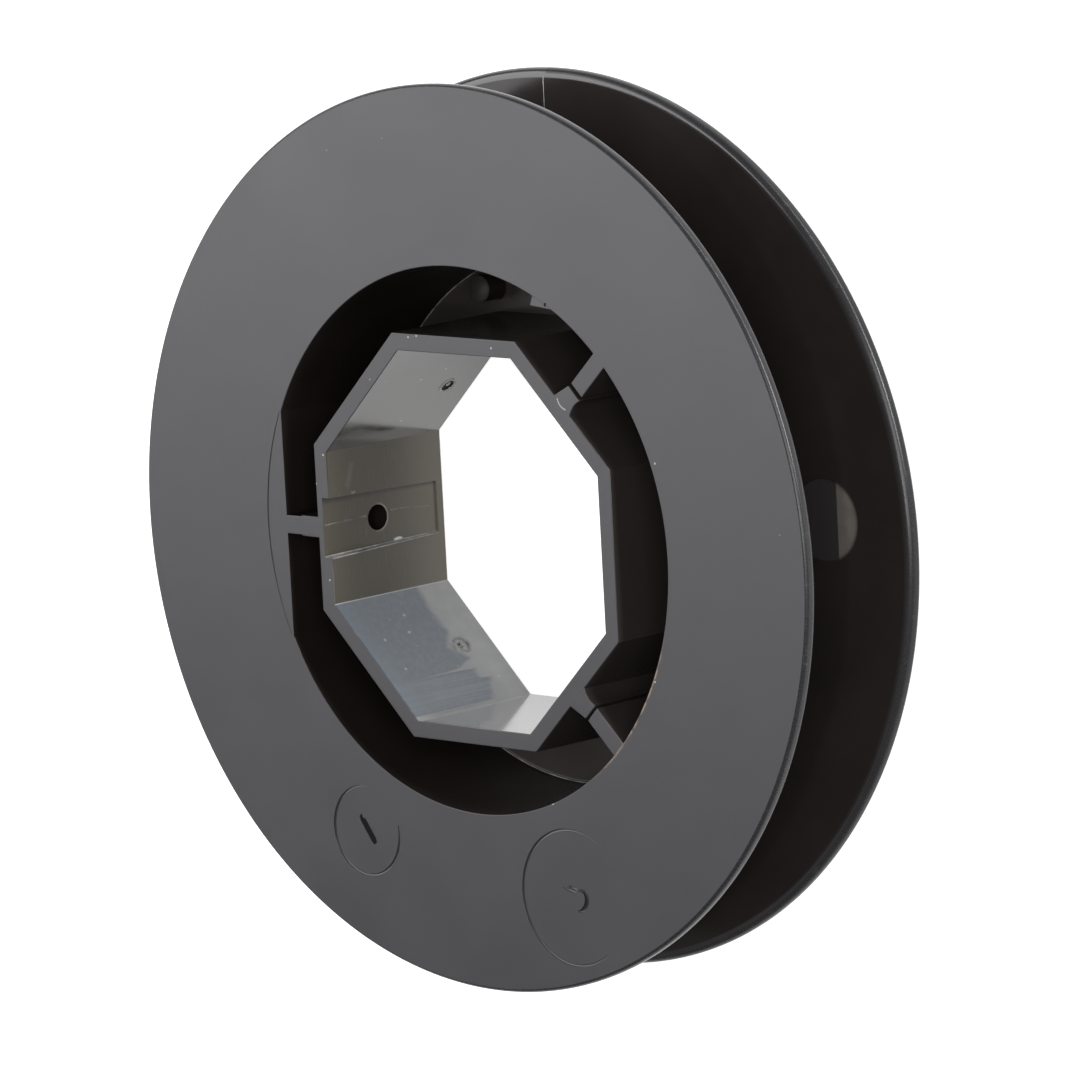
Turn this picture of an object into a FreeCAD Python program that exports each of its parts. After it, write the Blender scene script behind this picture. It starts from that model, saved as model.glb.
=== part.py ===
import FreeCAD, Part
import math
import os

# Belt pulley for a roller shutter: one plastic moulding that slides onto an octagonal shaft.
# Millimetres. The pulley lies on its back flange: +Z runs along the shaft axis towards the open
# front face, the origin is the centre of the back face, and the straight wall of the drum, with
# the screw hole, looks towards -X.

Vector = FreeCAD.Vector

# Flanges
flange_diameter = 147.0
overall_width = 26.8
rim_thickness = 2.4
flange_root_thickness = 2.7
rim_outer_round = 0.6
rim_inner_round = 1.2

# Drum that the belt winds on
drum_diameter = 93.0
drum_wall = 2.1
bore_draft = 1.25
web_thickness = 1.4
web_fillet = 0.6

# Pin on the web, in the pocket above the sleeve
pin_diameter = 4.45
pin_height = 4.5
pin_distance = 40.0
pin_angle = 110.5

# Straight stretch of the drum wall, where the belt's end is screwed on: its inner face stands
# in from the bore by the inset
flat_inset = 4.1
flat_wall = 2.1

# Octagonal sleeve for the shaft
shaft_across_flats = 60.0
shaft_clearance = 0.25
sleeve_wall = 2.8
sleeve_draft = 0.5
socket_lead_in = 0.5

# Groove in the sleeve's left flat for the shaft's folded seam, narrower and shallower at the back
seam_front_width = 9.9
seam_back_width = 8.5
seam_depth = 1.6
seam_back_depth = 0.4
seam_length = 24.9

# Ribs and the stubs that face them
rib_angle = 44.25
rib_thickness = 3.05
rib_draft = 0.4
stub_length = 3.45
stub_tip_width = 3.3
stub_root_width = 4.5
stub_flank_bow = 0.4
upper_slit = 0.75
lower_slit = 0.5
rear_stub_width = 3.45
rear_stub_length = 3.85

# Screw tunnel through the left rib, from the drum's straight wall into the socket
screw_hole_diameter = 4.25
screw_hole_from_front = 11.9
tunnel_width = 8.5

# Overrun of the cutting bodies past the faces they open
overrun = 1.0

# Derived sizes
flange_radius = flange_diameter / 2
drum_radius = drum_diameter / 2
bore_radius = drum_radius - drum_wall
bore_back_radius = bore_radius - (overall_width - web_thickness) * math.tan(math.radians(bore_draft))
flat_distance = bore_radius - flat_inset
socket_across_flats = shaft_across_flats + 2 * shaft_clearance
sleeve_across_flats = socket_across_flats + 2 * sleeve_wall
sleeve_face = sleeve_across_flats / 2
sleeve_back_across_flats = sleeve_across_flats + 2 * overall_width * math.tan(math.radians(sleeve_draft))
stub_tip = sleeve_face + stub_length
flat_outside = flat_distance + flat_wall
screw_height = overall_width - screw_hole_from_front
diagonal_flat_angle = 360 / 8


def octagon(across_flats, z):
    """Closed octagon with flats square to X and Y, at height z."""
    corner_radius = across_flats / 2 / math.cos(math.pi / 8)
    corners = []
    for i in range(8):
        angle = math.pi / 8 + i * math.pi / 4
        corners.append(Vector(corner_radius * math.cos(angle), corner_radius * math.sin(angle), z))
    return Part.makePolygon(corners + [corners[0]])


def on_profile(radius, z):
    """Point of the turned profile."""
    return Vector(radius, 0, z)


def round_edge(radius, z, size, start, end):
    """Round of the turned profile about (radius, z), between two angles, drawn as two arcs."""
    points = []
    for quarter in range(5):
        angle = math.radians(start + (end - start) * quarter / 4)
        points.append(on_profile(radius + size * math.cos(angle), z + size * math.sin(angle)))
    return [Part.Arc(*points[:3]).toShape(), Part.Arc(*points[2:]).toShape()]


def flange_edges():
    """Back flange from its outer round to the drum; the front flange is its mirror image."""
    rim_top = rim_thickness - rim_inner_round
    face_radius = flange_radius - rim_inner_round
    rim = Part.makeLine(on_profile(flange_radius, rim_outer_round), on_profile(flange_radius, rim_top))
    face = Part.makeLine(on_profile(face_radius, rim_thickness),
                         on_profile(drum_radius, flange_root_thickness))
    outer_round = round_edge(flange_radius - rim_outer_round, rim_outer_round, rim_outer_round, -90, 0)
    inner_round = round_edge(face_radius, rim_top, rim_inner_round, 0, 90)
    return outer_round + [rim] + inner_round + [face]


def turned_body():
    """Flanges, drum and web, turned in one profile."""
    outer_radius = flange_radius - rim_outer_round
    back_flange = flange_edges()
    middle = on_profile(0, overall_width / 2)
    front_flange = [edge.mirror(middle, Vector(0, 0, 1)) for edge in back_flange]
    fillet_radius = bore_back_radius + web_fillet * math.tan(math.radians(bore_draft)) - web_fillet
    fillet_height = web_thickness + web_fillet
    axis_low = on_profile(0, 0)
    axis_high = on_profile(0, web_thickness)
    front_edge = on_profile(bore_radius, overall_width)
    inside = [
        Part.makeLine(axis_low, on_profile(outer_radius, 0)),
        Part.makeLine(on_profile(drum_radius, flange_root_thickness),
                      on_profile(drum_radius, overall_width - flange_root_thickness)),
        Part.makeLine(on_profile(outer_radius, overall_width), front_edge),
        Part.makeLine(front_edge, on_profile(fillet_radius + web_fillet, fillet_height)),
        Part.makeLine(on_profile(fillet_radius, web_thickness), axis_high),
        Part.makeLine(axis_high, axis_low),
    ]
    inside += round_edge(fillet_radius, fillet_height, web_fillet, -90, 0)
    outline = Part.Wire(Part.__sortEdges__(inside + back_flange + front_flange))
    return Part.Face(outline).revolve(Vector(0, 0, 0), Vector(0, 0, 1), 360)


def flat_wall_fill():
    """Segment of the drum inside the straight wall's inner face, over the full width."""
    disc = Part.makeCylinder((drum_radius + bore_radius) / 2, overall_width)
    side = Part.makeBox(drum_radius, drum_diameter, overall_width,
                        Vector(-flat_distance - drum_radius, -drum_radius, 0))
    return disc.common(side)


def flat_wall_cut():
    """Space between the flanges outside the straight wall."""
    gap = overall_width - 2 * flange_root_thickness
    return Part.makeBox(drum_radius, drum_diameter, gap,
                        Vector(-flat_outside - drum_radius, -drum_radius, flange_root_thickness))


def sleeve():
    """Octagonal sleeve, its outside drafted for the core that pulls out at the front."""
    back = octagon(sleeve_back_across_flats, 0)
    front = octagon(sleeve_across_flats, overall_width)
    return Part.makeLoft([back, front], True, True)


def radial_bar(width, start, end, angle):
    """Bar along a radius, standing on the back face, thicker towards the back by its draft."""
    grow = overall_width * math.tan(math.radians(rib_draft))
    half = width / 2
    corners = [Vector(start, -half - grow, 0), Vector(start, half + grow, 0),
               Vector(start, half, overall_width), Vector(start, -half, overall_width)]
    bar = Part.Face(Part.makePolygon(corners + [corners[0]])).extrude(Vector(end - start, 0, 0))
    bar.rotate(Vector(0, 0, 0), Vector(0, 0, 1), angle)
    return bar


def stub(side):
    """Short rib on a diagonal flat of the sleeve; side is 1 above the X axis and -1 below it.

    Its root is in the middle of the flat and its tip in line with the rib across the slit. The
    flank towards the X axis is concave, and the other one is straight.
    """
    root = sleeve_face - sleeve_wall / 2
    half_root = stub_root_width / 2
    tip_middle = -stub_tip * math.tan(math.radians(diagonal_flat_angle - rib_angle))
    tip_far = tip_middle + stub_tip_width / 2
    tip_near = tip_middle - stub_tip_width / 2
    waist = (tip_near - half_root) / 2 + stub_flank_bow
    concave = Part.Arc(Vector(stub_tip, side * tip_near, 0),
                       Vector((sleeve_face + stub_tip) / 2, side * waist, 0),
                       Vector(sleeve_face, -side * half_root, 0))
    corners = [Vector(sleeve_face, -side * half_root, 0), Vector(root, -side * half_root, 0),
               Vector(root, side * half_root, 0), Vector(sleeve_face, side * half_root, 0),
               Vector(stub_tip, side * tip_far, 0), Vector(stub_tip, side * tip_near, 0)]
    sides = [Part.makeLine(start, end) for start, end in zip(corners, corners[1:])]
    shape = Part.Face(Part.Wire([concave.toShape()] + sides)).extrude(Vector(0, 0, overall_width))
    shape.rotate(Vector(0, 0, 0), Vector(0, 0, 1), side * diagonal_flat_angle)
    return shape


def slit_ribs():
    """The two diagonal ribs on the drum, each with its stub across a narrow slit."""
    shapes = []
    for side, slit in ((1, upper_slit), (-1, lower_slit)):
        end = (bore_radius + drum_radius) / 2
        shapes.append(radial_bar(rib_thickness, stub_tip + slit, end, side * rib_angle))
        shapes.append(stub(side))
    return shapes


def rear_rib():
    """The rib at 9 o'clock, which ties the sleeve to the straight wall, with its thicker root."""
    inner = sleeve_face - sleeve_wall / 2
    outer = flat_distance + flat_wall / 2
    return [radial_bar(rib_thickness, inner, outer, 180),
            radial_bar(rear_stub_width, inner, sleeve_face + rear_stub_length, 180)]


def web_pin():
    """Round pin that stands on the web."""
    pin = Part.makeCylinder(pin_diameter / 2, pin_height + web_thickness / 2,
                            Vector(pin_distance, 0, web_thickness / 2))
    pin.rotate(Vector(0, 0, 0), Vector(0, 0, 1), pin_angle)
    return pin


def screw_tunnel():
    """Block round the screw hole, rounded over the hole and straight down to the web."""
    inner = sleeve_face - sleeve_wall / 2 + seam_depth / 2
    length = flat_distance + flat_wall / 2 - inner
    radius = tunnel_width / 2
    barrel = Part.makeCylinder(radius, length, Vector(-inner, 0, screw_height), Vector(-1, 0, 0))
    foot = Part.makeBox(length, tunnel_width, screw_height, Vector(-inner - length, -radius, 0))
    return barrel.fuse(foot)


def socket_cut():
    """The shaft's octagon right through, widened a little at the back edge."""
    straight = Part.Face(octagon(socket_across_flats, -overrun)).extrude(
        Vector(0, 0, overall_width + 2 * overrun))
    mouth = Part.makeLoft([octagon(socket_across_flats + 2 * socket_lead_in, 0),
                           octagon(socket_across_flats, socket_lead_in)], True, True)
    return straight.fuse(mouth)


def seam_groove_cut():
    """Groove for the shaft's seam: open at the front, narrower and shallower at its closed back end."""
    flat = socket_across_flats / 2
    inside = overrun - flat
    back_end = overall_width - seam_length
    front_end = overall_width + overrun
    reach = (front_end - back_end) / seam_length
    half_back = seam_back_width / 2
    half_front = half_back + (seam_front_width - seam_back_width) / 2 * reach
    depth = seam_back_depth + (seam_depth - seam_back_depth) * reach
    tapered = [Vector(inside, -half_back, back_end), Vector(inside, half_back, back_end),
               Vector(inside, half_front, front_end), Vector(inside, -half_front, front_end)]
    sloped = [Vector(inside, -half_front, back_end), Vector(-flat - seam_back_depth, -half_front, back_end),
              Vector(-flat - depth, -half_front, front_end), Vector(inside, -half_front, front_end)]
    widths = Part.Face(Part.makePolygon(tapered + [tapered[0]])).extrude(Vector(-overrun - depth, 0, 0))
    depths = Part.Face(Part.makePolygon(sloped + [sloped[0]])).extrude(Vector(0, 2 * half_front, 0))
    return widths.common(depths)


def screw_hole_cut():
    """Round hole from outside the straight wall into the socket."""
    start = socket_across_flats / 2 - overrun
    return Part.makeCylinder(screw_hole_diameter / 2, flat_outside + overrun - start,
                             Vector(-start, 0, screw_height), Vector(-1, 0, 0))


def belt_pulley():
    body = turned_body()
    body = body.fuse(flat_wall_fill())
    body = body.cut(flat_wall_cut())
    body = body.fuse([sleeve(), screw_tunnel(), web_pin()] + slit_ribs() + rear_rib())
    for tool in (socket_cut(), seam_groove_cut(), screw_hole_cut()):
        body = body.cut(tool)
    return body


os.makedirs("parts", exist_ok=True)

pulley = belt_pulley()
solid = pulley.Solids[0]
print("solids", len(pulley.Solids), "valid", solid.isValid(), "volume cm3", round(solid.Volume / 1000, 2))
print("box", solid.BoundBox)
solid.exportStep("parts/belt_pulley.step")
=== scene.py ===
import math
import bmesh
import bpy
from mathutils import Matrix, Vector


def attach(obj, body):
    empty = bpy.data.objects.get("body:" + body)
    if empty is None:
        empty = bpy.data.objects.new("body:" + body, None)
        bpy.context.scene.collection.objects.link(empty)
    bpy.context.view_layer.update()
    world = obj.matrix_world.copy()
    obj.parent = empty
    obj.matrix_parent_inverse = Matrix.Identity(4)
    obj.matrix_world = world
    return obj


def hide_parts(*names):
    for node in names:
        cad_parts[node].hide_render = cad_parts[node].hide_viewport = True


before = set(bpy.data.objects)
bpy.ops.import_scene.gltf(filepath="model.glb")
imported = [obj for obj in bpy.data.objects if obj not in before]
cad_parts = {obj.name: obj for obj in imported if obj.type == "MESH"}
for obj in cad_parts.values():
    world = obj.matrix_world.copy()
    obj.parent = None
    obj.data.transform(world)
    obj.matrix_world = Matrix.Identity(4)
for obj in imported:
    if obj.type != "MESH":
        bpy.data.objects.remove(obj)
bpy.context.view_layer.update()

# Belt pulley of a roller shutter, lying on its back flange. The helpers take millimetres, and
# the meshes they make are in metres.
MM = 0.001
CAD_NODE = "belt_pulley"
WIDTH = 26.8

# Flanges. The outer round of a rim is made of arcs: their radius, start and end in degrees.
FLANGE_RADIUS = 73.5
FLANGE_TIP = 2.4
FLANGE_ROOT = 2.7
RIM_ARCS = ((0.25, 90, 65), (0.9, 65, 35), (0.9, 35, 0))
RIM_OUTER_ROUND = 0.626
RIM_INNER_ROUND = 1.2
RIM_SOFT = 1.55
RIM_MIDDLE = FLANGE_TIP - RIM_INNER_ROUND
FLANGE_TIP_RADIUS = FLANGE_RADIUS - RIM_INNER_ROUND

# Drum and web
DRUM_RADIUS = 46.5
DRUM_CORNER = 0.25
BORE_RADIUS = 44.4
WALL_MIDDLE = 45.4
BORE_SLOPE = math.tan(math.radians(1.25))
WEB_TOP = 1.4
WEB_FILLET = 0.6
FLAT_INSIDE = 40.3
FLAT_OUTSIDE = 42.4

# Sleeve, ribs and stubs
SOCKET_FLAT = 30.25
SOCKET_CORNER = 32.9
SOCKET_LEAD_IN = 0.5
SLEEVE_FACE = 33.05
SLEEVE_SLOPE = math.tan(math.radians(0.5))
RIB_ANGLE = 44.25
RIB_HALF = 1.525
RIB_SLOPE = math.tan(math.radians(0.4))
STUB_LENGTH = 3.45
STUB_ROOT = 4.5
STUB_TIP = 3.3
STUB_BOW = 0.4
UPPER_SLIT = 0.75
LOWER_SLIT = 0.5
MIDDLE_STUB_HALF = 1.725
MIDDLE_STUB_LENGTH = 3.85

# Seam groove, screw hole and pin
SEAM_HALF = 4.95
SEAM_BACK_HALF = 4.25
SEAM_DEPTH = 1.6
SEAM_BACK_DEPTH = 0.4
SEAM_END = 1.9
SCREW_HEIGHT = 14.9
SCREW_RADIUS = 2.125
TUNNEL_RADIUS = 4.25
PIN_PLACE = (-14.01, 37.47)
PIN_RADIUS = 2.225
PIN_TOP = 5.9
PIN_FILLET = 0.3
PIN_EDGE = 0.15

EDGE_ROUND = 0.13
FOOT = 0.6
TUBE_SIDES = 8


# Meshes

def grid_faces(rows, columns):
    """Quads of a closed tube: rows of vertices, each row a ring of that many columns."""
    faces = []
    for row in range(rows - 1):
        for column in range(columns):
            after = (column + 1) % columns
            low, high = row * columns, (row + 1) * columns
            faces.append((low + column, low + after, high + after, high + column))
    return faces


def capped_faces(rows, columns):
    """The tube's quads with a face on each of its two ends."""
    faces = grid_faces(rows, columns)
    faces.append(tuple(range(columns))[::-1])
    faces.append(tuple(range((rows - 1) * columns, rows * columns)))
    return faces


def tube(points, radii, side=None, normal=None, flat=1.0, turn=0.5):
    """Closed bar along the points, with its width along side or square to the normal.

    flat scales it along the normal, and turn 0 puts a corner there.
    """
    points = [Vector(p) for p in points]
    verts = []
    last = len(points) - 1
    for i, point in enumerate(points):
        along = (points[min(i + 1, last)] - points[max(i - 1, 0)]).normalized()
        if side is not None:
            across = Vector(side)
            up = along.cross(across).normalized()
        else:
            up = Vector(normal)
            across = along.cross(up).normalized()
        for j in range(TUBE_SIDES):
            angle = 2 * math.pi * (j + turn) / TUBE_SIDES
            sideways = across * radii[i] * math.cos(angle)
            verts.append(point + sideways + up * radii[i] * flat * math.sin(angle))
    return verts, capped_faces(len(points), TUBE_SIDES)


def prism(outline, low, high):
    """Upright prism on an outline of (x, y) corners."""
    verts = [Vector((x, y, z)) for z in (low, high) for x, y in outline]
    return verts, capped_faces(2, len(outline))


def lathe(profile, segments=32):
    """Closed turned solid: (radius, height) points from the axis round to the axis."""
    ends = (profile[0], profile[-1])
    rings = profile[1:-1]
    verts = []
    for radius, height in rings:
        for i in range(segments):
            angle = 2 * math.pi * i / segments
            verts.append(Vector((radius * math.cos(angle), radius * math.sin(angle), height)))
    faces = grid_faces(len(rings), segments)
    for end, first in ((ends[0], 0), (ends[1], (len(rings) - 1) * segments)):
        tip = len(verts)
        verts.append(Vector((0, 0, end[1])))
        for i in range(segments):
            faces.append((first + i, first + (i + 1) % segments, tip))
    return verts, faces


def ring_bar(radius, tube_radius, height, flat, segments=36):
    """Closed torus about the local axis, scaled by flat along it."""
    verts = []
    for i in range(segments):
        angle = 2 * math.pi * i / segments
        for j in range(TUBE_SIDES):
            turn = 2 * math.pi * j / TUBE_SIDES
            r = radius + tube_radius * math.cos(turn)
            verts.append(Vector((r * math.cos(angle), r * math.sin(angle),
                                 height + flat * tube_radius * math.sin(turn))))
    faces = grid_faces(segments, TUBE_SIDES)
    first = (segments - 1) * TUBE_SIDES
    for j in range(TUBE_SIDES):
        after = (j + 1) % TUBE_SIDES
        faces.append((first + j, first + after, after, j))
    return verts, faces


def placed(part, matrix):
    verts, faces = part
    return [matrix @ v for v in verts], faces


def on_flat(degrees, distance, along, z):
    """Frame on one of the sleeve's inner flats: local z looks at the axis, local y runs up."""
    angle = math.radians(degrees)
    out = Vector((math.cos(angle), math.sin(angle), 0))
    up = Vector((0, 0, 1))
    right = up.cross(-out)
    place = out * distance - right * along + Vector((0, 0, z))
    return Matrix.Translation(place) @ Matrix((right, up, -out)).transposed().to_4x4()


def arc(centre, radius, start, end, z, step=3.0):
    """Points of an arc on a plane of constant z."""
    count = max(2, int(abs(end - start) / step))
    points = []
    for i in range(count + 1):
        angle = math.radians(start + (end - start) * i / count)
        points.append((centre[0] + radius * math.cos(angle),
                       centre[1] + radius * math.sin(angle), z))
    return points


def taper(count, middle, end, peak=0.5):
    """Radii along a mark: the end value at both ends, the middle value at the peak."""
    radii = []
    for i in range(count):
        t = i / (count - 1)
        t = t / peak if t < peak else (1 - t) / (1 - peak)
        radii.append(end + (middle - end) * math.sin(t * math.pi / 2))
    return radii


def spread(count, values):
    """As many radii as the points of a mark has, read off a few even spaced values."""
    radii = []
    for i in range(count):
        place = i / (count - 1) * (len(values) - 1)
        low = min(int(place), len(values) - 2)
        radii.append(values[low] + (values[low + 1] - values[low]) * (place - low))
    return radii


def score(points, radii, depth=0.85):
    """Line scored into the front face, with a V section."""
    lifted = [(x, y, z + 0.02) for x, y, z in points]
    return tube(lifted, radii, normal=(0, 0, 1), flat=depth, turn=0.0)


def make_object(name, parts):
    """One object of several closed meshes, given in millimetres."""
    bm = bmesh.new()
    for verts, faces in parts:
        made = [bm.verts.new(v * MM) for v in verts]
        for face in faces:
            bm.faces.new([made[i] for i in face])
    bmesh.ops.recalc_face_normals(bm, faces=bm.faces)
    mesh = bpy.data.meshes.new(name)
    bm.to_mesh(mesh)
    bm.free()
    obj = bpy.data.objects.new(name, mesh)
    bpy.context.scene.collection.objects.link(obj)
    return obj


def boolean(target, parts, operation):
    """Adds the closed meshes to the target or takes them away from it, and applies that."""
    tool = make_object("cutter", parts)
    modifier = target.modifiers.new("boolean", "BOOLEAN")
    modifier.operation = operation
    modifier.use_self = len(parts) > 1
    modifier.solver = "EXACT"
    modifier.object = tool
    bpy.context.view_layer.update()
    result = bpy.data.meshes.new_from_object(
        target.evaluated_get(bpy.context.evaluated_depsgraph_get()))
    target.modifiers.clear()
    target.data = result
    bpy.data.objects.remove(tool)


def inset(outline, distance):
    """Outline moved inwards by a distance; its corners run counter-clockwise."""
    moved = []
    count = len(outline)
    for i in range(count):
        before, here, after = (Vector(outline[(i + k) % count]) for k in (-1, 0, 1))
        one = (here - before).normalized()
        two = (after - here).normalized()
        bisector = Vector((-one.y - two.y, one.x + two.x)).normalized()
        moved.append(tuple(here + bisector * distance / bisector.dot(Vector((-one.y, one.x)))))
    return moved


def edge_levels(high):
    """Inset and height of the rings that round an edge of a face at that height."""
    levels = []
    for degrees in (0, 30, 60, 90):
        angle = math.radians(degrees)
        levels.append((EDGE_ROUND * (1 - math.cos(angle)),
                       high - EDGE_ROUND * (1 - math.sin(angle))))
    return levels


def rounded_prism(low_outline, high_outline, low, high):
    """Prism between two outlines whose upper edge is rounded."""
    verts = [Vector((x, y, low)) for x, y in low_outline]
    for shrink, z in edge_levels(high):
        verts += [Vector((x, y, z)) for x, y in inset(high_outline, shrink)]
    return verts, capped_faces(5, len(low_outline))


def flared_cut(outline, low, high):
    """Cutting prism that rounds the upper edge of the hole it makes in the face at high."""
    verts = [Vector((x, y, low)) for x, y in outline]
    for grow, z in edge_levels(high) + [(EDGE_ROUND * 2, high + 1)]:
        verts += [Vector((x, y, z)) for x, y in inset(outline, -grow)]
    return verts, capped_faces(6, len(outline))


def octagon(across_flats):
    corner = across_flats / 2 / math.cos(math.pi / 8)
    return [(corner * math.cos(math.pi / 8 + i * math.pi / 4),
             corner * math.sin(math.pi / 8 + i * math.pi / 4)) for i in range(8)]


def turned_outline(outline, degrees):
    angle = math.radians(degrees)
    cosine, sine = math.cos(angle), math.sin(angle)
    return [(x * cosine - y * sine, x * sine + y * cosine) for x, y in outline]


# Parts of the moulding. They reach into each other by about a millimetre, each by its own
# amount, so that no two faces lie in one plane.

def turned_round(radius, z, size, start, end, steps):
    """Points of a round in the turned profile."""
    points = []
    for i in range(steps + 1):
        angle = math.radians(start + (end - start) * i / steps)
        points.append((radius + size * math.cos(angle), z + size * math.sin(angle)))
    return points


def flange_inside(radius):
    """Height of the back flange's inner face at a radius."""
    share = (radius - DRUM_RADIUS) / (FLANGE_TIP_RADIUS - DRUM_RADIUS)
    return FLANGE_ROOT + (FLANGE_TIP - FLANGE_ROOT) * share


def rim_round():
    """Outer round of a flange from its face to the rim: a tight arc, then a wide one."""
    radius, height = 0.0, 0.0
    points = [(radius, height)]
    for size, start, end in RIM_ARCS:
        for i in range(4):
            here = math.radians(start + (end - start) * i / 4)
            after = math.radians(start + (end - start) * (i + 1) / 4)
            radius += size * (math.cos(after) - math.cos(here))
            height += size * (math.sin(here) - math.sin(after))
            points.append((radius, height))
    return [(FLANGE_RADIUS - radius + r, z) for r, z in points]


def turned_body():
    """Flanges, drum and web in one turned profile, from the back face's centre to the web's."""
    half = rim_round()
    for i in range(11):
        angle = math.radians(9 * i)
        half.append((FLANGE_RADIUS - RIM_SOFT * (1 - math.cos(angle)),
                     FLANGE_TIP - RIM_INNER_ROUND * (1 - math.sin(angle))))
    half += [(radius, flange_inside(radius)) for radius in (FLANGE_TIP_RADIUS - 4, 60, 52)]
    half += turned_round(DRUM_RADIUS + DRUM_CORNER, FLANGE_ROOT + DRUM_CORNER, DRUM_CORNER, 270, 180, 3)
    profile = [(0, 0), (30, 0), (50, 0)] + half + [(r, WIDTH - z) for r, z in half[::-1]]
    profile += turned_round(BORE_RADIUS + EDGE_ROUND, WIDTH - EDGE_ROUND, EDGE_ROUND, 90, 180, 3)
    back = BORE_RADIUS - (WIDTH - WEB_TOP) * BORE_SLOPE
    fillet = back + WEB_FILLET * BORE_SLOPE - WEB_FILLET
    profile += turned_round(fillet, WEB_TOP + WEB_FILLET, WEB_FILLET, 0, -90, 6)
    profile += [(38, WEB_TOP), (0, WEB_TOP)]
    return lathe(profile, 256)


def flat_wall():
    """Fill between the drum and its straight wall at 9 o'clock."""
    across = math.sqrt(WALL_MIDDLE ** 2 - FLAT_INSIDE ** 2)
    curve = [(x, y) for x, y, _ in arc((0, 0), WALL_MIDDLE, 153, 207, 0, 1.5) if x < -FLAT_INSIDE]
    return prism([(-FLAT_INSIDE, across)] + curve + [(-FLAT_INSIDE, -across)], FOOT, WIDTH)


def flat_seat():
    """What is cut off the drum's outside, between the flanges, to make it flat there."""
    beyond, half, gap = 60, 45, 0.02
    outline = [(-beyond, -half), (-FLAT_OUTSIDE, -half), (-FLAT_OUTSIDE, half), (-beyond, half)]
    return prism(outline, FLANGE_ROOT + gap, WIDTH - FLANGE_ROOT - gap)


def bar(half_width, start, end, degrees):
    """Rib along a radius, thicker towards the web by its draft."""
    grow = WIDTH * RIB_SLOPE
    outlines = []
    for half in (half_width + grow, half_width):
        outline = [(start, -half), (end, -half), (end, half), (start, half)]
        outlines.append(turned_outline(outline, degrees))
    return rounded_prism(outlines[0], outlines[1], FOOT, WIDTH)


def stub(side):
    """Short rib on a diagonal flat, in line with the rib; the flank near the X axis is concave."""
    tip = SLEEVE_FACE + STUB_LENGTH
    middle = -tip * math.tan(math.radians(45 - RIB_ANGLE))
    near, far = middle - STUB_TIP / 2, middle + STUB_TIP / 2
    root = STUB_ROOT / 2
    start = SLEEVE_FACE - 1.4
    outline = [(start, -root)]
    steps = 8
    for i in range(steps + 1):
        t = i / steps
        bow = 4 * STUB_BOW * t * (1 - t)
        outline.append((SLEEVE_FACE + STUB_LENGTH * t, (near + root) * t - root + bow))
    outline += [(tip, far), (SLEEVE_FACE, root), (start, root)]
    if side < 0:
        outline = [(x, -y) for x, y in outline[::-1]]
    outline = turned_outline(outline, side * 45)
    return rounded_prism(outline, outline, FOOT, WIDTH)


def seam_depth(z):
    """Depth of the seam groove at height z: it gets shallower towards the back."""
    return SEAM_BACK_DEPTH + (SEAM_DEPTH - SEAM_BACK_DEPTH) * (z - SEAM_END) / (WIDTH - SEAM_END)


def seam_section(z):
    """Outline of the seam groove at height z, with small rounds along its lower edge."""
    share = (z - SEAM_END) / (WIDTH - SEAM_END)
    half = SEAM_BACK_HALF + (SEAM_HALF - SEAM_BACK_HALF) * share
    floor = -SOCKET_FLAT - seam_depth(z)
    mouth, fillet = 0.18, 0.1 + 0.12 * share
    inside = 1.25 - SOCKET_FLAT
    section = [(inside, half), (floor, half)]
    angles = [math.radians(degrees) for degrees in (0, 45, 90)]
    section += [(floor + fillet * (1 - math.cos(angle)), fillet * (1 - math.sin(angle)) - half)
                for angle in angles]
    section += [(mouth * (math.sin(angle) - 1) - SOCKET_FLAT, mouth * (math.cos(angle) - 1) - half)
                for angle in angles]
    section.append((inside, -half - mouth))
    return [Vector((x, y, z)) for x, y in section]


def seam_groove():
    """The seam groove's cut, from its closed back end out over the front face."""
    back, front = seam_section(SEAM_END), seam_section(WIDTH + 1.2)
    return back + front, capped_faces(2, len(back))


def screw_tunnel():
    """Block round the screw hole from the sleeve to the straight wall, rounded over the hole."""
    section = [(TUNNEL_RADIUS, FOOT), (TUNNEL_RADIUS, SCREW_HEIGHT)]
    for degrees in range(10, 180, 10):
        angle = math.radians(degrees)
        section.append((TUNNEL_RADIUS * math.cos(angle), SCREW_HEIGHT + TUNNEL_RADIUS * math.sin(angle)))
    section += [(-TUNNEL_RADIUS, SCREW_HEIGHT), (-TUNNEL_RADIUS, FOOT)]
    verts = [Vector((x, y, z)) for x in (-SLEEVE_FACE + 0.6, -FLAT_INSIDE - 1.1) for y, z in section]
    return verts, capped_faces(2, len(section))


def screw_hole():
    """The hole's cut, from inside the socket out through the straight wall."""
    hole = lathe([(0, 0), (SCREW_RADIUS, 0), (SCREW_RADIUS, 14), (0, 14)], 48)
    turn = Matrix.Rotation(math.radians(-90), 4, "Y")
    return placed(hole, Matrix.Translation((-29.5, 0, SCREW_HEIGHT)) @ turn)


def web_pin():
    """Pin on the web, with a fillet at its foot and a small round at its top."""
    foot = 0.9
    profile = [(0, foot), (PIN_RADIUS + PIN_FILLET, foot), (PIN_RADIUS + PIN_FILLET, WEB_TOP),
               (PIN_RADIUS + 0.3 * PIN_FILLET, WEB_TOP + 0.3 * PIN_FILLET),
               (PIN_RADIUS, WEB_TOP + PIN_FILLET), (PIN_RADIUS, PIN_TOP - PIN_EDGE),
               (PIN_RADIUS - PIN_EDGE / 3, PIN_TOP - PIN_EDGE / 3),
               (PIN_RADIUS - PIN_EDGE, PIN_TOP), (0, PIN_TOP)]
    return placed(lathe(profile, 40), Matrix.Translation((*PIN_PLACE, 0)))


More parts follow.
